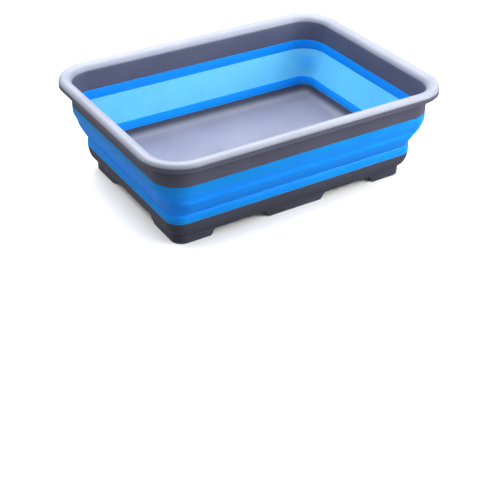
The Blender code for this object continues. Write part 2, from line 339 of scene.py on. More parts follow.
class Nodes:
    """Adds nodes to one shader tree and links them."""

    def __init__(self, tree: bpy.types.NodeTree) -> None:
        """Keep the tree that the nodes go into."""
        self.tree = tree

    def add(self, kind: str, inputs: dict | None = None, **settings: object) -> bpy.types.Node:
        """Add a node.

        Args:
            kind: the node's type name.
            inputs: values or sockets for its inputs, by name or place.
            settings: properties of the node itself.

        Returns:
            The new node.
        """
        node = self.tree.nodes.new(kind)
        for name, value in settings.items():
            setattr(node, name, value)
        for name, value in (inputs or {}).items():
            self.feed(node.inputs[name], value)
        return node

    def feed(self, socket: bpy.types.NodeSocket, value: object) -> None:
        """Link a socket into an input, or set the input to a plain value.

        Args:
            socket: the input.
            value: the socket or the plain value.
        """
        if isinstance(value, bpy.types.NodeSocket):
            self.tree.links.new(value, socket)
        else:
            socket.default_value = value

    def math(self, operation: str, one: object, other: object = 0.0) -> bpy.types.NodeSocket:
        """Return the result of a sum on one or two values."""
        return self.add("ShaderNodeMath", {0: one, 1: other}, operation=operation).outputs[0]

    def ramp(self, value: object, low: object, high: object, start: float = 0.0,
             end: float = 1.0) -> bpy.types.NodeSocket:
        """Add a soft ramp.

        Args:
            value: what the ramp follows.
            low: the value where it starts, as a number or a socket.
            high: the value where it ends, as a number or a socket.
            start: its result at and below low.
            end: its result at and above high.

        Returns:
            The ramp's result.
        """
        limits = {"Value": value, "From Min": low, "From Max": high, "To Min": start,
                  "To Max": end}
        node = self.add("ShaderNodeMapRange", limits, interpolation_type="SMOOTHSTEP")
        return node.outputs["Result"]

    def noise(self, place: bpy.types.NodeSocket, scale: object, detail: float = 2.0,
              roughness: float = 0.5) -> bpy.types.NodeSocket:
        """Return a noise value at a place."""
        node = self.add("ShaderNodeTexNoise", {"Vector": place, "Scale": scale,
                                               "Detail": detail, "Roughness": roughness})
        return node.outputs["Fac"]

    def stretched(self, place: bpy.types.NodeSocket, scale: tuple[float, float, float],
                  turn: tuple[float, float, float] = (0.0, 0.0, 0.0)) -> bpy.types.NodeSocket:
        """Return a place whose axes are turned and scaled."""
        node = self.add("ShaderNodeMapping", {"Vector": place, "Rotation": turn, "Scale": scale})
        return node.outputs["Vector"]

    def blend(self, share: object, one: object, other: object,
              mode: str = "MIX") -> bpy.types.NodeSocket:
        """Return a mix of two colours."""
        node = self.add("ShaderNodeMix", {0: share, 6: one, 7: other}, data_type="RGBA",
                        blend_type=mode)
        return node.outputs[2]

    def bump(self, height: object, distance: float, below: object = None) -> bpy.types.NodeSocket:
        """Add a relief.

        Args:
            height: the relief's height, from 0 to 1.
            distance: how deep it is.
            below: the normal that it lies on, or None for the surface itself.

        Returns:
            The normal of the relief.
        """
        node = self.add("ShaderNodeBump", {"Height": height, "Distance": distance})
        if below is not None:
            self.feed(node.inputs["Normal"], below)
        return node.outputs["Normal"]

    def effect(self, tree: bpy.types.NodeTree, place: bpy.types.NodeSocket,
               values: dict[str, float]) -> bpy.types.bpy_prop_collection:
        """Place a shared effect.

        Args:
            tree: the effect's node group.
            place: where on the piece a point lies.
            values: the effect's own amounts by input name.

        Returns:
            The outputs of the effect.
        """
        return self.add("ShaderNodeGroup", {"Place": place, **values}, node_tree=tree).outputs

    def patchy(self, base: object, patches: object, contrast: float) -> bpy.types.NodeSocket:
        """Return a colour that is darker by a share where a surface's patches are low."""
        shade = self.blend(patches, rgba((1 - contrast,) * 3), rgba(WHITE))
        return self.blend(1.0, base, shade, "MULTIPLY")

    def dusted(self, base: object, cover: object, colour: Colour) -> bpy.types.NodeSocket:
        """Return a colour under a thin cover of dust."""
        return self.blend(cover, base, rgba(colour))


def rgba(colour: Colour) -> tuple[float, float, float, float]:
    """Return a colour with full alpha."""
    return (*colour, 1.0)


def new_group(name: str, inputs: dict[str, str], outputs: dict[str, str]) -> bpy.types.NodeTree:
    """Start a node group.

    Args:
        name: the name of the group.
        inputs: socket types by input name.
        outputs: socket types by output name.

    Returns:
        The group's tree, without nodes.
    """
    tree = bpy.data.node_groups.new(name, "ShaderNodeTree")
    for socket_name, kind in inputs.items():
        tree.interface.new_socket(socket_name, in_out="INPUT", socket_type=kind)
    for socket_name, kind in outputs.items():
        tree.interface.new_socket(socket_name, in_out="OUTPUT", socket_type=kind)
    return tree


def new_material(name: str) -> tuple[bpy.types.Material, Nodes, bpy.types.NodeInputs]:
    """Start a material.

    Args:
        name: the name of the material.

    Returns:
        The material, its nodes and the inputs of its Principled shader.
    """
    material = bpy.data.materials.new(name)
    material.use_nodes = True
    shader = material.node_tree.nodes["Principled BSDF"]
    return material, Nodes(material.node_tree), shader.inputs


@dataclass(frozen=True)
class SharedEffects:
    """The node groups that more than one material uses."""

    grain: bpy.types.NodeTree
    scuffs: bpy.types.NodeTree
    dust: bpy.types.NodeTree
    painted_tops: bpy.types.NodeTree

    # Each set of scratches has a turn in degrees, a scale across them and a scale along them.
    SCRATCHES = ((20.0, 900.0, 22.0), (-35.0, 1100.0, 30.0), (75.0, 800.0, 26.0))

    @staticmethod
    def upward(nodes: Nodes) -> bpy.types.NodeSocket:
        """Return how much a face looks up, from -1 to 1."""
        normal = nodes.add("ShaderNodeNewGeometry").outputs["Normal"]
        return nodes.add("ShaderNodeSeparateXYZ", {0: normal}).outputs["Z"]

    @staticmethod
    def build_grain() -> bpy.types.NodeTree:
        """Build the group for a mould's fine grain and the broad patches of its surface.

        Returns:
            The group's tree.
        """
        tree = new_group("moulded_grain",
                         {"Place": "NodeSocketVector", "Grain Size": "NodeSocketFloat",
                          "Patch Size": "NodeSocketFloat"},
                         {"Grain": "NodeSocketFloat", "Patches": "NodeSocketFloat"})
        nodes = Nodes(tree)
        given = nodes.add("NodeGroupInput").outputs
        fine = nodes.math("DIVIDE", 1.0, given["Grain Size"])
        broad = nodes.math("DIVIDE", 1.0, given["Patch Size"])
        grain = nodes.noise(given["Place"], fine, detail=3.0, roughness=0.6)
        patches = nodes.noise(given["Place"], broad, detail=3.0, roughness=0.55)
        patches = nodes.ramp(patches, low=0.3, high=0.7)
        nodes.add("NodeGroupOutput", {"Grain": grain, "Patches": patches})
        return tree

    @classmethod
    def build_scuffs(cls) -> bpy.types.NodeTree:
        """Build the group for the short fine scratches that use leaves on plastic.

        Returns:
            The group's tree.
        """
        tree = new_group("handling_scuffs",
                         {"Place": "NodeSocketVector", "Amount": "NodeSocketFloat"},
                         {"Scuffs": "NodeSocketFloat"})
        nodes = Nodes(tree)
        given = nodes.add("NodeGroupInput").outputs
        total = None
        for turn_deg, across, along in cls.SCRATCHES:
            turned = nodes.stretched(given["Place"], (along, across, along),
                                     (0.0, 0.0, math.radians(turn_deg)))
            line = nodes.ramp(nodes.noise(turned, 1.0, detail=1.0), low=0.70, high=0.76)
            total = line if total is None else nodes.math("MAXIMUM", total, line)
        where = nodes.ramp(nodes.noise(given["Place"], 16.0), low=0.45, high=0.75)
        mask = nodes.math("MULTIPLY", nodes.math("MULTIPLY", total, where), given["Amount"])
        nodes.add("NodeGroupOutput", {"Scuffs": mask})
        return tree

    @classmethod
    def build_dust(cls) -> bpy.types.NodeTree:
        """Build the group for the thin dust that lies on faces that look up.

        Returns:
            The group's tree.
        """
        tree = new_group("settled_dust",
                         {"Place": "NodeSocketVector", "Amount": "NodeSocketFloat"},
                         {"Dust": "NodeSocketFloat"})
        nodes = Nodes(tree)
        given = nodes.add("NodeGroupInput").outputs
        facing = nodes.ramp(cls.upward(nodes), low=0.6, high=1.0)
        cloud = nodes.noise(given["Place"], 28.0, detail=5.0, roughness=0.65)
        cloud = nodes.ramp(cloud, low=0.42, high=0.72)
        mask = nodes.math("MULTIPLY", nodes.math("MULTIPLY", facing, cloud), given["Amount"])
        nodes.add("NodeGroupOutput", {"Dust": mask})
        return tree

    @classmethod
    def build_painted_tops(cls) -> bpy.types.NodeTree:
        """Build the group for a painted highlight, which makes plastic paler where it looks up.

        Returns:
            The group's tree.
        """
        tree = new_group("painted_top_highlight",
                         {"Place": "NodeSocketVector", "Steep": "NodeSocketFloat",
                          "Flat": "NodeSocketFloat"},
                         {"Highlight": "NodeSocketFloat"})
        nodes = Nodes(tree)
        given = nodes.add("NodeGroupInput").outputs
        slope = nodes.ramp(cls.upward(nodes), low=given["Steep"], high=given["Flat"])
        cloud = nodes.noise(given["Place"], 22.0, detail=3.0)
        cloud = nodes.ramp(cloud, low=0.25, high=0.6, start=0.93)
        nodes.add("NodeGroupOutput", {"Highlight": nodes.math("MULTIPLY", slope, cloud)})
        return tree

    @classmethod
    def build(cls) -> "SharedEffects":
        """Build every group once."""
        return cls(cls.build_grain(), cls.build_scuffs(), cls.build_dust(), cls.build_painted_tops())


@dataclass(frozen=True)
class PlasticFinish:
    """A rigid moulded plastic: colour, gloss and how worn it is.

    A painted highlight makes it paler where it looks up. Steep and flat say how much a face looks
    up where that starts and where it is complete. Its edge at edge_height is rubbed by a share,
    which fades over edge_reach.
    """

    name: str
    colour: Colour
    # The highlight colour is painted onto faces that look up: a painted highlight.
    highlight_colour: Colour
    worn_colour: Colour
    roughness: float
    specular: float
    grain: Grain
    grain_depth: float
    edge_height: float
    patch_size: float = 0.06
    patch_contrast: float = 0.10
    scuffs: float = 0.5
    dust: float = 0.25
    edge_reach: float = 0.001
    rub: float = 0.5
    steep: float = 0.12
    flat: float = 0.32

    DUST_COLOUR = (0.55, 0.56, 0.60)
    DUST_COVER = 0.12
    DUST_ROUGHNESS = 0.10
    WEAR_ROUGHNESS = 0.12
    WEAR_DEPTH = 0.5
    ROUGHNESS_SPREAD = 0.03
    IOR = 1.5

    def build(self, effects: SharedEffects) -> bpy.types.Material:
        """Build the material.

        Args:
            effects: the shared node groups.

        Returns:
            A Principled material with grain, scuffs, dust, a painted highlight on its tops and a
            worn edge.
        """
        material, nodes, shader = new_material(self.name)
        place = nodes.add("ShaderNodeTexCoord").outputs["Object"]
        grain = nodes.effect(effects.grain, place, {"Grain Size": self.grain.value,
                                                    "Patch Size": self.patch_size})
        scuffs = nodes.effect(effects.scuffs, place, {"Amount": self.scuffs})["Scuffs"]
        dust = nodes.effect(effects.dust, place, {"Amount": self.dust})["Dust"]
        top_highlight = nodes.effect(effects.painted_tops, place, {"Steep": self.steep,
                                                     "Flat": self.flat})["Highlight"]

        height = nodes.add("ShaderNodeSeparateXYZ", {0: place}).outputs["Z"]
        distance = nodes.math("ABSOLUTE", nodes.math("SUBTRACT", height, self.edge_height))
        edge = nodes.ramp(distance, low=0.0, high=self.edge_reach, start=self.rub, end=0.0)
        wear = nodes.math("MAXIMUM", nodes.math("MULTIPLY", edge, grain["Patches"]), scuffs)

        # Painted highlight: faces that look up blend towards the paler highlight colour.
        base = nodes.blend(top_highlight, rgba(self.colour), rgba(self.highlight_colour))
        base = nodes.patchy(base, grain["Patches"], self.patch_contrast)
        base = nodes.blend(wear, base, rgba(self.worn_colour))
        base = nodes.dusted(base, nodes.math("MULTIPLY", dust, self.DUST_COVER),
                            self.DUST_COLOUR)
        nodes.feed(shader["Base Color"], base)

        rough = nodes.ramp(grain["Patches"], 0.0, 1.0, self.roughness - self.ROUGHNESS_SPREAD,
                           self.roughness + self.ROUGHNESS_SPREAD)
        rough = nodes.math("ADD", rough, nodes.math("MULTIPLY", wear, self.WEAR_ROUGHNESS))
        rough = nodes.math("ADD", rough, nodes.math("MULTIPLY", dust, self.DUST_ROUGHNESS))
        nodes.feed(shader["Roughness"], rough)

        worn_depth = nodes.math("MULTIPLY", wear, self.WEAR_DEPTH)
        relief = nodes.bump(nodes.math("SUBTRACT", grain["Grain"], worn_depth),
                            self.grain_depth)
        nodes.feed(shader["Normal"], relief)
        nodes.feed(shader["IOR"], self.IOR)
        nodes.feed(shader["Specular IOR Level"], self.specular)
        return material


@dataclass(frozen=True)
class ElastomerFinish:
    """A soft blue elastomer, deep where thick; paler where thin, by its own tone and painted light.
    """

    name: str
    thick_colour: Colour
    # The thin colour is paler partly by painted light that shines through the wall.
    thin_lit_colour: Colour
    # The corner colour is painted shade at the panel's corners.
    corner_shade_colour: Colour
    roughness: float
    grain: Grain = Grain.SOFT_TOUCH
    grain_depth: float = 0.00002
    patch_size: float = 0.045
    patch_contrast: float = 0.07
    ripple_size: float = 0.0075
    ripple_depth: float = 0.00012
    # Share by which the ripples paint a sheen into the thin colour: a painted reflection.
    ripple_sheen_amount: float = 0.06
    subsurface: float = 0.4
    subsurface_scale: float = 0.005
    subsurface_radius: Colour = (0.3, 0.7, 0.75)
    specular: float = 0.2
    dust: float = 0.2

    THIN_LAYER = "thin"
    CORNER_SHADE_LAYER = "corner"
    # The ripples of the thin panel are drawn out along its height by this scale.
    UPRIGHT = (1.0, 1.0, 0.08)
    DUST_COLOUR = (0.60, 0.68, 0.78)
    DUST_COVER = 0.10
    ROUGHNESS_SPREAD = 0.04
    IOR = 1.45

    @classmethod
    def even(cls, name: str, colour: Colour, roughness: float) -> "ElastomerFinish":
        """Return the finish of a band, which is thick all over."""
        return cls(name, colour, colour, colour, roughness)

    def build(self, effects: SharedEffects) -> bpy.types.Material:
        """Build the material.

        Args:
            effects: the shared node groups.

        Returns:
            A Principled material whose colour follows the wall's thickness, with painted light
            where the panel is thin, a painted sheen along its ripples and painted shade at its
            corners.
        """
        material, nodes, shader = new_material(self.name)
        place = nodes.add("ShaderNodeTexCoord").outputs["Object"]
        grain = nodes.effect(effects.grain, place, {"Grain Size": self.grain.value,
                                                    "Patch Size": self.patch_size})
        dust = nodes.effect(effects.dust, place, {"Amount": self.dust})["Dust"]
        thin = nodes.add("ShaderNodeAttribute", attribute_name=self.THIN_LAYER).outputs["Fac"]
        # The corner attribute holds where the painted shade of the panel's corners lies.
        corner = nodes.add("ShaderNodeAttribute", attribute_name=self.CORNER_SHADE_LAYER).outputs["Fac"]

        upright = nodes.stretched(place, self.UPRIGHT)
        ripples = nodes.noise(upright, 1.0 / self.ripple_size, detail=1.5, roughness=0.4)
        # Painted reflection: the ripples lighten and darken the thin panel's colour a little.
        ripple_sheen = nodes.ramp(ripples, low=0.35, high=0.65, start=-self.ripple_sheen_amount,
                          end=self.ripple_sheen_amount)
        share = nodes.math("ADD", thin, nodes.math("MULTIPLY", ripple_sheen, thin))
        # Paler thin panel: partly its own tone, partly painted light shining through the wall.
        base = nodes.blend(share, rgba(self.thick_colour), rgba(self.thin_lit_colour))
        # Painted shade: the thin panel darkens at its corners, most at mid-height.
        base = nodes.blend(nodes.math("MULTIPLY", corner, thin), base, rgba(self.corner_shade_colour))
        base = nodes.patchy(base, grain["Patches"], self.patch_contrast)
        base = nodes.dusted(base, nodes.math("MULTIPLY", dust, self.DUST_COVER),
                            self.DUST_COLOUR)
        nodes.feed(shader["Base Color"], base)

        rough = nodes.ramp(grain["Patches"], 0.0, 1.0, self.roughness - self.ROUGHNESS_SPREAD,
                           self.roughness + self.ROUGHNESS_SPREAD)
        nodes.feed(shader["Roughness"], rough)
        waves = nodes.bump(nodes.math("MULTIPLY", ripples, thin), self.ripple_depth)
        nodes.feed(shader["Normal"], nodes.bump(grain["Grain"], self.grain_depth, waves))
        nodes.feed(shader["Subsurface Weight"], self.subsurface)
        nodes.feed(shader["Subsurface Radius"], self.subsurface_radius)
        nodes.feed(shader["Subsurface Scale"], self.subsurface_scale)
        nodes.feed(shader["IOR"], self.IOR)
        nodes.feed(shader["Specular IOR Level"], self.specular)
        return material


@dataclass(frozen=True)
class Section:
    """Sizes that more than one moulding follows: wall, hinges, joints and tongues."""

    wall_offset: float = 0.013
    tray_wall_offset: float = 0.027
    wall_thickness: float = 0.0025
    rim_joint: float = 0.083
    rim_joint_slant: float = 0.0015
    upper_hinge: float = 0.073
    lower_hinge: float = 0.0412
    tray_joint: float = 0.0303
    tray_joint_slant: float = 0.0008
    tongue_thickness: float = 0.0009
    tongue_depth: float = 0.0038
    tongue_clearance: float = 0.0002
    seam: float = 0.0001
    edge_radius: float = 0.0003
    edge_steps: int = 4

    @property
    def tongue_start(self) -> float:
        """Return how far inside the wall's outer face a tongue starts."""
        return (self.wall_thickness - self.tongue_thickness) / 2

    @property
    def tongue_root(self) -> float:
        """Return the height where the room for the rim's tongue ends."""
        return self.rim_joint - self.tongue_depth - 2 * self.tongue_clearance

    def tongue(self, offset: float, joint: float, slant: float, way: int) -> list[Point]:
        """Draw a moulding's edge with its tongue.

        Args:
            offset: where the wall's outer face lies.
            joint: height of the joint at the outer face.
            slant: how much higher the joint is at the inner face.
            way: 1 where the tongue points up, -1 where it points down.

        Returns:
            The points of the edge, from the outer face to the inner face.
        """
        steps = self.edge_steps
        near = offset + self.tongue_start
        far = near + self.tongue_thickness
        inner = offset + self.wall_thickness
        radius = self.edge_radius
        tip = joint + way * self.tongue_depth
        slope = slant / self.wall_thickness
        start, end = (180, 90) if way > 0 else (180, 270)
        outer_edge = arc((offset + radius, joint - way * radius), radius, start, end, steps)
        inner_edge = arc((inner - radius, joint + slant - way * radius), radius, end,
                         0 if way > 0 else 360, steps)
        return [*outer_edge, (near, joint + slope * (near - offset)), (near, tip), (far, tip),
                (far, joint + slope * (far - offset)), *inner_edge]


@dataclass
class RimFrame:
    """The rigid rim: broad flange, hanging lip with its bead, and upright wall.

    The bead turns up to an angle in degrees and then fades into the lip over a height of its own.
    """

    plan: Plan
    section: Section
    top: float
    parting_edge: float = 0.00012
    lip_depth: float = 0.0100
    lip_lean: float = 0.0001
    bead_radius: float = 0.0006
    bead_end_deg: float = 168.0
    bead_fade: float = 0.0026
    bead_steps: int = 8
    lip_edge_radius: float = 0.0006
    flange_steps: int = 4
    underside_steps: int = 4

    # Each point of the flange's upper face has an offset and a drop from the rim's top.
    FLANGE = (
        (0.0002, 0.0056), (0.0005, 0.0042), (0.0012, 0.0027), (0.0024, 0.0013),
        (0.0041, 0.00025), (0.0056, 0.0), (0.0072, 0.00025), (0.0092, 0.0009),
        (0.0108, 0.0017), (0.0122, 0.0027), (0.0134, 0.0040), (0.0144, 0.0056),
        (0.0151, 0.0077), (0.0154, 0.0102), (0.0155, 0.0128), (0.0155, 0.0160),
    )

    def rings(self) -> list[Ring]:
        """Draw the section as a closed loop.

        Returns:
            Its rings, from the lip's bead over the flange to the wall and back underneath.
        """
        wall = self.section.wall_thickness
        lip_bottom = self.top - self.lip_depth
        bead = arc((self.bead_radius, lip_bottom + self.bead_radius), self.bead_radius,
                   270, self.bead_end_deg, self.bead_steps)
        corners = [(offset, self.top - drop) for offset, drop in self.FLANGE]
        flange = flowing(corners, self.flange_steps)
        edge_offset, edge_height = flange[0]
        # The lip's last two points leave a very fine round at the mould's parting line.
        lip = [(edge_offset + self.lip_lean, bead[-1][1] + self.bead_fade),
               (edge_offset + self.parting_edge / 4, edge_height - 2 * self.parting_edge),
               (edge_offset, edge_height - self.parting_edge)]
        edge = self.section.tongue(self.section.wall_offset, self.section.rim_joint,
                                   self.section.rim_joint_slant, -1)
        lip_inner = edge_offset + self.lip_lean + wall
        under = [(offset, height)
                 for offset, height in beside(flange, wall)[::-self.underside_steps]
                 if offset > lip_inner + self.lip_edge_radius]
        lip_root = (lip_inner, under[-1][1] - self.lip_edge_radius)
        lip_edge = arc((lip_inner - self.lip_edge_radius, lip_bottom + self.lip_edge_radius),
                       self.lip_edge_radius, 360, 270, self.section.edge_steps)
        line = [*bead, *lip, *flange, *reversed(edge), *under, lip_root, *lip_edge]
        return [Ring(offset, height) for offset, height in line]

    def build(self, material: bpy.types.Material) -> bpy.types.Object:
        """Build the rim and let it stand for its node.

        Args:
            material: what the rim is made of.

        Returns:
            The finished piece.
        """
        piece = loft("rim_frame_shell", self.plan, self.rings(), True)
        piece.data.materials.append(material)
        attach(piece, "rim")
        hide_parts("rim_frame")
        return piece


@dataclass
class FoldingWall:
    """The elastomer moulding: upper band, panel with its crease, and lower band.

    Its outer skin is thinner beside the rim's tongue than below it. The panel's inner face starts
    a small step behind the upper band's, and its foot is sunk into the lower band.
    """

    plan: Plan
    section: Section
    skin: float = 0.0007
    lower_skin: float = 0.0017
    step_depth: float = 0.0004
    sink: float = 0.0004
    shoulder_run: float = 0.0018
    shoulder_rise: float = 0.0055
    shoulder_steps: int = 12
    corner_ease: float = 0.004
    outer_steps: int = 3
    inner_steps: int = 4
    foot_steps: int = 5

    # Each point of the outer face has an offset, a height and the ease of its corners.
    OUTER_FACE = (
        (0.0130, 0.0829, 0.0), (0.0131, 0.0800, -0.0006), (0.0134, 0.0770, -0.0016),
        (0.0140, 0.0738, -0.0027), (0.0145, 0.0722, -0.0034), (0.0150, 0.0708, -0.0039),
        (0.0158, 0.0690, -0.0037), (0.0165, 0.0676, -0.0039), (0.0172, 0.0662, -0.0054),
        (0.0178, 0.0648, -0.0058), (0.0183, 0.0633, -0.0053), (0.0185, 0.0617, -0.0038),
        (0.0184, 0.0601, -0.0017), (0.0184, 0.0586, 0.0007), (0.0188, 0.0570, 0.0031),
        (0.0197, 0.0549, 0.0044), (0.0210, 0.0520, 0.0051), (0.0226, 0.0489, 0.0053),
        (0.0242, 0.0462, 0.0049), (0.0256, 0.0441, 0.0035), (0.0267, 0.0424, 0.0022),
        (0.0275, 0.0413, 0.0010), (0.0281, 0.0406, 0.0),
    )
    # Each point of the panel's inner face lies a share of the way in and a share of the way down.
    INNER_SHARES = (
        (0.00, 0.00), (0.14, 0.13), (0.27, 0.25), (0.39, 0.37), (0.51, 0.49), (0.63, 0.61),
        (0.75, 0.73), (0.87, 0.86), (1.00, 1.00),
    )
    # The painted shade at the corners sets in over the first run, in shares of the corner radius,
    # and fades over the second, in shares of half the panel's height.
    CORNER_SHADE_RUN = (-0.1, 0.5)
    CORNER_SHADE_FADE = (0.2, 0.85)

    def ease(self, height: float) -> float:
        """Work out how much the inner face's corners are eased.

        Args:
            height: a height above the ground.

        Returns:
            The ease, which is greatest half way between the hinges and 0 beyond them.
        """
        span = self.section.upper_hinge - self.section.lower_hinge
        share = min(max((height - self.section.lower_hinge) / span, 0.0), 1.0)
        return self.corner_ease * math.sin(math.pi * share)

    def outer_rings(self) -> list[Ring]:
        """Return the outer face from the rim's joint down into the notch over the lower band."""
        return [Ring(*point) for point in flowing(list(self.OUTER_FACE), self.outer_steps)]

    def inner_line(self) -> list[Point]:
        """Draw the inner face of the panel.

        Returns:
            Its points, from its upper edge down to the lower band.
        """
        section = self.section
        wall = section.wall_thickness
        start = (section.wall_offset + wall - self.step_depth / 2,
                 section.upper_hinge - self.step_depth / 2)
        end = (section.tray_wall_offset + wall - self.step_depth / 2,
               section.lower_hinge - self.sink)
        return flowing(between(self.INNER_SHARES, start, end), self.inner_steps)

    def build_fold(self, material: bpy.types.Material) -> bpy.types.Object:
        """Build the folding wall, whose outer skin reaches up to the rim.

        Args:
            material: what the wall is made of.

        Returns:
            The finished piece.
        """
        section = self.section
        outer = self.outer_rings()
        inner = self.inner_line()
        skin_face = section.wall_offset + self.skin
        tongue_root = section.tongue_root
        lower_face = section.wall_offset + self.lower_skin
        back = [(lower_face, section.upper_hinge), (lower_face, tongue_root),
                (skin_face, tongue_root), (skin_face, section.rim_joint - section.seam)]
        thin = [0.0] * len(outer) + [1.0] * len(inner) + [0.0] * len(back)
        rings = [*outer, *(Ring(offset, height, self.ease(height))
                           for offset, height in [*reversed(inner), *back])]
        piece = loft("folding_wall", self.plan, rings, True)
        write_shares(piece, ElastomerFinish.THIN_LAYER, thin)
        self.write_corner_shade(piece)
        piece.data.materials.append(material)
        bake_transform(piece)
        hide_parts("upper_fold_panel", "mid_wall_crease", "lower_fold_panel")
        return piece

    def write_corner_shade(self, piece: bpy.types.Object) -> None:
        """Write where the painted shade of the panel's corners lies, most at mid-height.

        Args:
            piece: the folding wall.
        """
        piece.data.attributes.new(ElastomerFinish.CORNER_SHADE_LAYER, "FLOAT", "POINT")
        values = piece.data.attributes[ElastomerFinish.CORNER_SHADE_LAYER].data
        reach = self.plan.corner_radius
        middle = (self.section.upper_hinge + self.section.lower_hinge) / 2
        half_height = (self.section.upper_hinge - self.section.lower_hinge) / 2
        run_start, run_end = self.CORNER_SHADE_RUN
        for index, vert in enumerate(piece.data.vertices):
            along = abs(vert.co.x) - (self.plan.length / 2 - reach)
            across = abs(vert.co.y) - (self.plan.width / 2 - reach)
            near = smooth_step(run_start * reach, run_end * reach, min(along, across))
            level = 1 - smooth_step(*self.CORNER_SHADE_FADE, abs(vert.co.z - middle) / half_height)
            values[index].value = near * level

    def build_upper_band(self, material: bpy.types.Material) -> bpy.types.Object:
        """Build the thick upper band, which shows inside the basin below the rim.

        Args:
            material: what the band is made of.

        Returns:
            The finished piece.
        """
        section = self.section
        inner = section.wall_offset + section.wall_thickness
        top = section.rim_joint + section.rim_joint_slant - section.seam
        bottom = section.upper_hinge - self.step_depth
        radius = self.step_depth
        tongue_root = section.tongue_root
        behind_tongue = inner - self.skin
        behind = section.wall_offset + self.lower_skin + section.tongue_clearance
        edge = arc((inner - section.edge_radius, top - section.edge_radius),
                   section.edge_radius, 0, 90, section.edge_steps)
        foot = arc((inner - radius, bottom + radius), radius, 270, 360, self.foot_steps)
        line = [*foot, *edge, (behind_tongue, top), (behind_tongue, tongue_root),
                (behind, tongue_root), (behind, bottom)]
        rings = [Ring(offset, height) for offset, height in line]
        piece = loft("upper_band", self.plan, rings, True)
        piece.data.materials.append(material)
        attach(piece, "rim")
        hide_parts("upper_wall_band")
        return piece

    def build_lower_band(self, material: bpy.types.Material) -> bpy.types.Object:
        """Build the thick lower band with its rounded shoulder, on the wall of the tray.

        Args:
            material: what the band is made of.

        Returns:
            The finished piece.
        """
        section = self.section
        outer = section.tray_wall_offset
        inner = outer + section.wall_thickness
        top = section.lower_hinge - section.seam
        bottom = section.tray_joint + section.seam
        inner_bottom = bottom - section.tray_joint_slant
        near = outer + section.tongue_start - section.tongue_clearance
        far = near + section.tongue_thickness + 2 * section.tongue_clearance
        root = bottom + section.tongue_depth + section.tongue_clearance
        radius = section.edge_radius
        steps = section.edge_steps
        shoulder = arc((outer + self.shoulder_run, top - self.shoulder_rise),
                       self.shoulder_run, 180, 90, self.shoulder_steps, self.shoulder_rise)
        inner_edge = arc((inner - radius, top - radius), radius, 90, 0, steps)
        foot = arc((outer + radius, bottom + radius), radius, 270, 180, steps)
        inner_foot = arc((inner - radius, inner_bottom + radius), radius, 360, 270, steps)
        line = [*foot, *shoulder, *inner_edge, *inner_foot, (far, inner_bottom), (far, root),
                (near, root), (near, bottom)]
        rings = [Ring(offset, height) for offset, height in line]
        piece = loft("lower_band", self.plan, rings, True)
        piece.data.materials.append(material)
        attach(piece, "base")
        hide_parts("lower_wall_band")
        return piece


@dataclass(frozen=True)
class FootGap:
    """A gap between two feet, cut through two opposite sides of the skirt.

    Its half length is measured at the ground, and each end slopes over a length of its own.
    """

    side: Side
    centre: float
    half_length: float
    slope: float


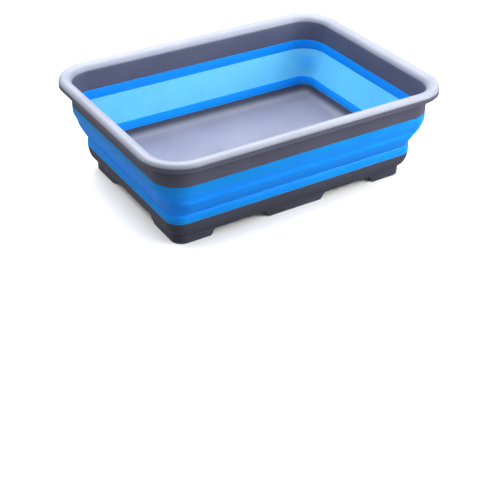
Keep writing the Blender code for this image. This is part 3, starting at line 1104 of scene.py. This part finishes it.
@dataclass
class BaseTray:
    """The rigid tray: floor, rounded underside, skirt and six feet.

    The foot pads reach inwards behind the thin skirt. They start a setback beyond the gaps, and
    the pockets between them end at a ledge below the floor.
    """

    plan: Plan
    section: Section
    floor_height: float = 0.017
    floor_thickness: float = 0.0022
    floor_step: float = 0.0004
    floor_steps: int = 3
    fillet_radius: float = 0.0106
    floor_corner_ease: float = 0.003
    underside_top: float = 0.029
    skirt_top: float = 0.013
    skirt_offset: float = 0.0352
    skirt_draft: float = 0.0006
    skirt_thickness: float = 0.0026
    skirt_corner_ease: float = 0.004
    clearance: float = 0.0080
    foot_depth: float = 0.0070
    pad_setback: float = 0.0015
    pocket_ledge: float = 0.0012
    panel_inset: float = 0.008
    cutter_overrun: float = 0.004
    arc_steps: int = 20
    slope_steps: int = 12
    edge_bevel: float = 0.00015
    bevel_segments: int = 2
    bevel_angle_deg: float = 50.0
    # Each gap has a side, a centre, a half length and a slope.
    gaps: tuple[FootGap, ...] = (
        FootGap(Side.LONG, 0.071, 0.038, 0.007),
        FootGap(Side.LONG, -0.071, 0.038, 0.007),
        FootGap(Side.SHORT, 0.0, 0.052, 0.013),
    )

    # Where the floor meets its fillet it rises by one floor step. Each point has an offset and a
    # rise in such steps.
    FLOOR_EDGE = ((4.5, 0.0), (3.0, 0.0), (2.0, 0.5), (1.0, 1.0), (0.0, 1.0))

    @property
    def skirt_foot(self) -> float:
        """Return the offset of the skirt's outer face at the ground."""
        return self.skirt_offset + self.skirt_draft

    @property
    def underside(self) -> float:
        """Return the height of the floor's underside."""
        return self.floor_height - self.floor_thickness

    def rings(self) -> list[Ring]:
        """Draw the section.

        Returns:
            Its rings, from the middle of the floor round to the middle of the underside.
        """
        section = self.section
        inner = section.tray_wall_offset + section.wall_thickness
        step = self.floor_step
        radius = self.fillet_radius
        centre = (inner + radius, self.floor_height + step + radius)
        floor_edge = inner + radius
        floor = flowing([(floor_edge + across * step, self.floor_height + rise * step)
                         for across, rise in self.FLOOR_EDGE], self.floor_steps)
        fillet = arc(centre, radius, 270, 180, self.arc_steps)
        rings = [Ring(offset, height, self.floor_corner_ease) for offset, height in floor[:-1]]
        rings += [Ring(offset, height, self.floor_corner_ease * (1 - index / self.arc_steps))
                  for index, (offset, height) in enumerate(fillet)]
        edge = section.tongue(section.tray_wall_offset, section.tray_joint,
                              -section.tray_joint_slant, 1)
        rings += [Ring(offset, height) for offset, height in reversed(edge)]
        rounding = arc((self.skirt_offset, self.underside_top),
                       self.skirt_offset - section.tray_wall_offset, 180, 270,
                       self.arc_steps, self.underside_top - self.skirt_top)
        rings += [Ring(offset, height, self.skirt_corner_ease * index / self.arc_steps)
                  for index, (offset, height) in enumerate(rounding)]
        ease = self.skirt_corner_ease
        pad = self.skirt_foot + self.foot_depth
        underside = self.underside
        rings += [Ring(self.skirt_foot, 0.0, ease), Ring(pad, 0.0, ease),
                  Ring(pad, underside, ease), Ring(pad + self.panel_inset, underside, ease),
                  Ring(pad + self.panel_inset + step, underside + step, ease)]
        return rings

    @staticmethod
    def cut_with(piece: bpy.types.Object, cutter: bpy.types.Object) -> None:
        """Cut one closed shape out of another and delete the cutter.

        Args:
            piece: the shape that is cut.
            cutter: the shape that is taken away from it.
        """
        bpy.ops.object.select_all(action="DESELECT")
        piece.select_set(True)
        bpy.context.view_layer.objects.active = piece
        bpy.ops.object.modifier_add(type="BOOLEAN")
        modifier = piece.modifiers[-1]
        modifier.operation = "DIFFERENCE"
        modifier.solver = "EXACT"
        modifier.object = cutter
        bpy.ops.object.modifier_apply(modifier=modifier.name)
        bpy.data.objects.remove(cutter, do_unlink=True)

    def gap_cutter(self, gap: FootGap) -> bpy.types.Object:
        """Make a cutter whose ends slope in a soft double curve down to the ground.

        Args:
            gap: the gap that it cuts.

        Returns:
            The cutter.
        """
        along_x = gap.side is Side.LONG
        place = (gap.centre, 0, self.clearance) if along_x else (0, gap.centre, self.clearance)
        reach = self.plan.length
        top = 2 * (gap.half_length - gap.slope)
        bpy.ops.object.select_all(action="DESELECT")
        bpy.ops.mesh.primitive_plane_add(size=1, location=(0, 0, 0), enter_editmode=True)
        bpy.ops.transform.resize(value=(top, reach, 1) if along_x else (reach, top, 1),
                                 center_override=(0, 0, 0))
        bpy.ops.transform.translate(value=place)
        length = top
        height = self.clearance
        for step in range(1, self.slope_steps + 2):
            if step <= self.slope_steps:
                share = step / self.slope_steps
                wanted = top + 2 * gap.slope * share
                level = self.clearance * (1 + math.cos(math.pi * share)) / 2
            else:
                wanted = length
                level = -self.cutter_overrun
            bpy.ops.mesh.extrude_region_move(
                TRANSFORM_OT_translate={"value": (0, 0, level - height)})
            ratio = wanted / length
            bpy.ops.transform.resize(value=(ratio, 1, 1) if along_x else (1, ratio, 1),
                                     center_override=(place[0], place[1], level))
            length = wanted
            height = level
        bpy.ops.mesh.select_all(action="SELECT")
        bpy.ops.mesh.normals_make_consistent(inside=False)
        bpy.ops.object.mode_set(mode="OBJECT")
        return bpy.context.object

    def pocket_cutter(self, gap: FootGap) -> bpy.types.Object:
        """Make a block that leaves only the thin skirt between two foot pads.

        Args:
            gap: the gap between the two feet.

        Returns:
            The cutter.
        """
        along_x = gap.side is Side.LONG
        inner = self.skirt_foot + self.skirt_thickness
        top = self.underside - self.pocket_ledge
        low = -self.cutter_overrun
        length = 2 * (gap.half_length + self.pad_setback)
        width = (self.plan.width if along_x else self.plan.length) - 2 * inner
        bpy.ops.object.select_all(action="DESELECT")
        bpy.ops.mesh.primitive_cube_add(size=1, location=(0, 0, 0), enter_editmode=True)
        bpy.ops.transform.resize(
            value=(length, width, top - low) if along_x else (width, length, top - low),
            center_override=(0, 0, 0))
        middle = (top + low) / 2
        bpy.ops.transform.translate(
            value=(gap.centre, 0, middle) if along_x else (0, gap.centre, middle))
        bpy.ops.object.mode_set(mode="OBJECT")
        return bpy.context.object

    @staticmethod
    def stand_flat(piece: bpy.types.Object) -> None:
        """Press what the bevel pushed into the ground flat on it.

        Args:
            piece: the tray.
        """
        bpy.ops.object.mode_set(mode="EDIT")
        bpy.ops.mesh.select_all(action="DESELECT")
        mesh = bmesh.from_edit_mesh(piece.data)
        for vert in mesh.verts:
            vert.select = vert.co.z < 0
        bmesh.update_edit_mesh(piece.data)
        bpy.ops.transform.resize(value=(1, 1, 0), center_override=(0, 0, 0))
        bpy.ops.object.mode_set(mode="OBJECT")

    def build(self, material: bpy.types.Material) -> bpy.types.Object:
        """Build the tray, cut its feet free and soften their edges.

        Args:
            material: what the tray is made of.

        Returns:
            The finished piece.
        """
        piece = loft("base_tray_shell", self.plan, self.rings(), False)
        for gap in self.gaps:
            self.cut_with(piece, self.pocket_cutter(gap))
            self.cut_with(piece, self.gap_cutter(gap))
        bpy.ops.object.modifier_add(type="BEVEL")
        modifier = piece.modifiers[-1]
        modifier.width = self.edge_bevel
        modifier.segments = self.bevel_segments
        modifier.limit_method = "ANGLE"
        modifier.angle_limit = math.radians(self.bevel_angle_deg)
        bpy.ops.object.modifier_apply(modifier=modifier.name)
        self.stand_flat(piece)
        bpy.ops.object.shade_smooth_by_angle(angle=SHARP_ANGLE)
        piece.data.materials.append(material)
        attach(piece, "base")
        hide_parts("base_tray")
        return piece


@dataclass(frozen=True)
class SoftBox:
    """A studio light: a rectangle of even brightness that faces the basin.

    Its angles are in degrees, and its brightness is the same at every size and distance.
    """

    name: str
    azimuth: float
    elevation: float
    width: float
    height: float
    brightness: float
    distance: float = 1.9

    def build(self) -> None:
        """Add the light, aimed and with the power that gives its brightness."""
        turn = math.radians(self.azimuth)
        rise = math.radians(self.elevation)
        way = Vector((math.cos(turn) * math.cos(rise), math.sin(turn) * math.cos(rise),
                      math.sin(rise)))
        bpy.ops.object.light_add(type="AREA", location=way * self.distance)
        light = bpy.context.object
        light.name = self.name
        light.data.shape = "RECTANGLE"
        light.data.size = self.width
        light.data.size_y = self.height
        light.data.energy = self.brightness * math.pi * self.width * self.height
        light.rotation_euler = way.to_track_quat("Z", "Y").to_euler()


@dataclass
class Studio:
    """Floor, lights, surroundings and camera."""

    azimuth: float = -32.99
    elevation: float = 34.63
    roll: float = 1.2
    distance: float = 1.084
    aim: tuple[float, float, float] = (-0.0871, -0.1431, 0.0)
    lens: float = 75.24
    sensor: float = 36.0
    floor_size: float = 8.0
    floor_colour: Colour = (0.94, 0.945, 0.95)
    floor_bounce: float = 0.2
    floor_roughness: float = 0.9
    floor_specular: float = 0.1
    ambient_strength: float = 0.33
    # Each softbox has a name, an azimuth, an elevation, a width, a height and a brightness.
    softboxes: tuple[SoftBox, ...] = (
        SoftBox("top_softbox", 57, 89.9, 1.3, 1.3, 4.3, distance=1.7),
        SoftBox("high_front_softbox", -55, 58, 1.5, 1.1, 1.4),
        SoftBox("high_right_softbox", -3, 58, 1.5, 1.1, 2.7),
        SoftBox("high_back_softbox", 57, 58, 1.5, 1.1, 4.7),
        SoftBox("high_left_softbox", 117, 58, 1.5, 1.1, 5.2),
        SoftBox("high_side_softbox", 177, 58, 1.5, 1.1, 2.4),
        SoftBox("low_front_softbox", -48, 28, 1.7, 0.9, 3.4),
        SoftBox("near_front_softbox", -46, 25, 0.5, 0.4, 6.0, distance=0.8),
        SoftBox("low_side_softbox", 160, 28, 1.7, 0.9, 0.3),
    )

    def build_camera(self) -> None:
        """Set the camera at the viewing angle of the photograph."""
        turn = math.radians(self.azimuth)
        tilt = math.radians(self.elevation)
        back = Vector((math.sin(turn) * math.cos(tilt), -math.cos(turn) * math.cos(tilt),
                       math.sin(tilt)))
        right = Vector((math.cos(turn), math.sin(turn), 0.0))
        up = back.cross(right)
        lean = math.radians(self.roll)
        leaning_right = right * math.cos(lean) + up * math.sin(lean)
        leaning_up = up * math.cos(lean) - right * math.sin(lean)
        axes = Matrix((leaning_right, leaning_up, back)).transposed()
        bpy.ops.object.camera_add(location=Vector(self.aim) + back * self.distance)
        camera = bpy.context.object
        camera.rotation_euler = axes.to_euler()
        camera.data.lens = self.lens
        camera.data.sensor_width = self.sensor
        bpy.context.scene.camera = camera

    def build_floor(self) -> None:
        """Lay a plain pale floor, which gives back less light than the camera sees on it."""
        bpy.ops.object.select_all(action="DESELECT")
        bpy.ops.mesh.primitive_plane_add(size=self.floor_size, location=(0, 0, 0))
        floor = bpy.context.object
        floor.name = "studio_floor"
        material, nodes, shader = new_material("studio_floor")
        seen = nodes.add("ShaderNodeLightPath").outputs["Is Camera Ray"]
        bounce = rgba((self.floor_bounce,) * 3)
        nodes.feed(shader["Base Color"], nodes.blend(seen, bounce, rgba(self.floor_colour)))
        nodes.feed(shader["Roughness"], self.floor_roughness)
        nodes.feed(shader["Specular IOR Level"], self.floor_specular)
        floor.data.materials.append(material)
        floor.visible_glossy = False

    def build_surroundings(self) -> None:
        """Fill the room with an even soft light."""
        world = bpy.data.worlds.new("studio")
        world.use_nodes = True
        background = world.node_tree.nodes["Background"]
        background.inputs["Color"].default_value = rgba(WHITE)
        background.inputs["Strength"].default_value = self.ambient_strength
        bpy.context.scene.world = world
        bpy.context.scene.view_settings.view_transform = "Standard"

    def build(self) -> None:
        """Build the whole studio."""
        self.build_camera()
        self.build_floor()
        self.build_surroundings()
        for softbox in self.softboxes:
            softbox.build()


RIM_FINISH = PlasticFinish(
    name="rim_plastic_satin",
    colour=(0.083, 0.084, 0.130),
    # The highlight colour paints the flange's top paler: a painted highlight.
    highlight_colour=(0.222, 0.238, 0.300),
    worn_colour=(0.16, 0.16, 0.19),
    roughness=0.42,
    specular=0.45,
    grain=Grain.SATIN,
    grain_depth=0.00002,
    edge_height=0.1066,
    rub=0.1,
)
TRAY_FINISH = PlasticFinish(
    name="tray_plastic_fine",
    colour=(0.056, 0.060, 0.090),
    # The highlight colour paints the tray's floor paler: a painted highlight.
    highlight_colour=(0.152, 0.163, 0.222),
    worn_colour=(0.14, 0.14, 0.17),
    roughness=0.48,
    specular=0.3,
    grain=Grain.FINE,
    grain_depth=0.00003,
    edge_height=0.0004,
    steep=0.3,
    flat=0.9,
)
BAND_BLUE = (0.004, 0.295, 0.950)
BAND_FINISH = ElastomerFinish.even("band_elastomer_blue", BAND_BLUE, roughness=0.48)
# Painted shade: the upper band is a darker copy of the band's blue, though both bands are one
# elastomer.
SHADED_UPPER_BAND_FINISH = ElastomerFinish.even(
    "upper_band_elastomer_blue_shaded", (0.003, 0.255, 0.950), roughness=0.48)
# Its thin colour is partly painted light through the panel; its corner colour is painted shade.
PANEL_FINISH = ElastomerFinish(
    name="panel_elastomer_blue",
    thick_colour=BAND_BLUE,
    thin_lit_colour=(0.090, 0.405, 0.665),
    corner_shade_colour=(0.030, 0.315, 0.740),
    roughness=0.44,
)


def main() -> None:
    """Build the studio, the basin's mouldings and their finishes."""
    logging.basicConfig(level=logging.INFO, format="%(name)s: %(message)s")
    low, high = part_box("rim_frame")
    plan = Plan(length=high.x - low.x, width=high.y - low.y)
    section = Section()
    Studio().build()
    effects = SharedEffects.build()
    rim_plastic = RIM_FINISH.build(effects)
    tray_plastic = TRAY_FINISH.build(effects)
    band_elastomer = BAND_FINISH.build(effects)
    shaded_upper_band_elastomer = SHADED_UPPER_BAND_FINISH.build(effects)
    panel_elastomer = PANEL_FINISH.build(effects)
    wall = FoldingWall(plan, section)
    pieces = [
        RimFrame(plan, section, top=high.z).build(rim_plastic),
        wall.build_upper_band(shaded_upper_band_elastomer),
        wall.build_fold(panel_elastomer),
        wall.build_lower_band(band_elastomer),
        BaseTray(plan, section).build(tray_plastic),
    ]
    for piece in pieces:
        LOG.info("%s: %d faces", piece.name, len(piece.data.polygons))


if __name__ == "__main__":
    main()
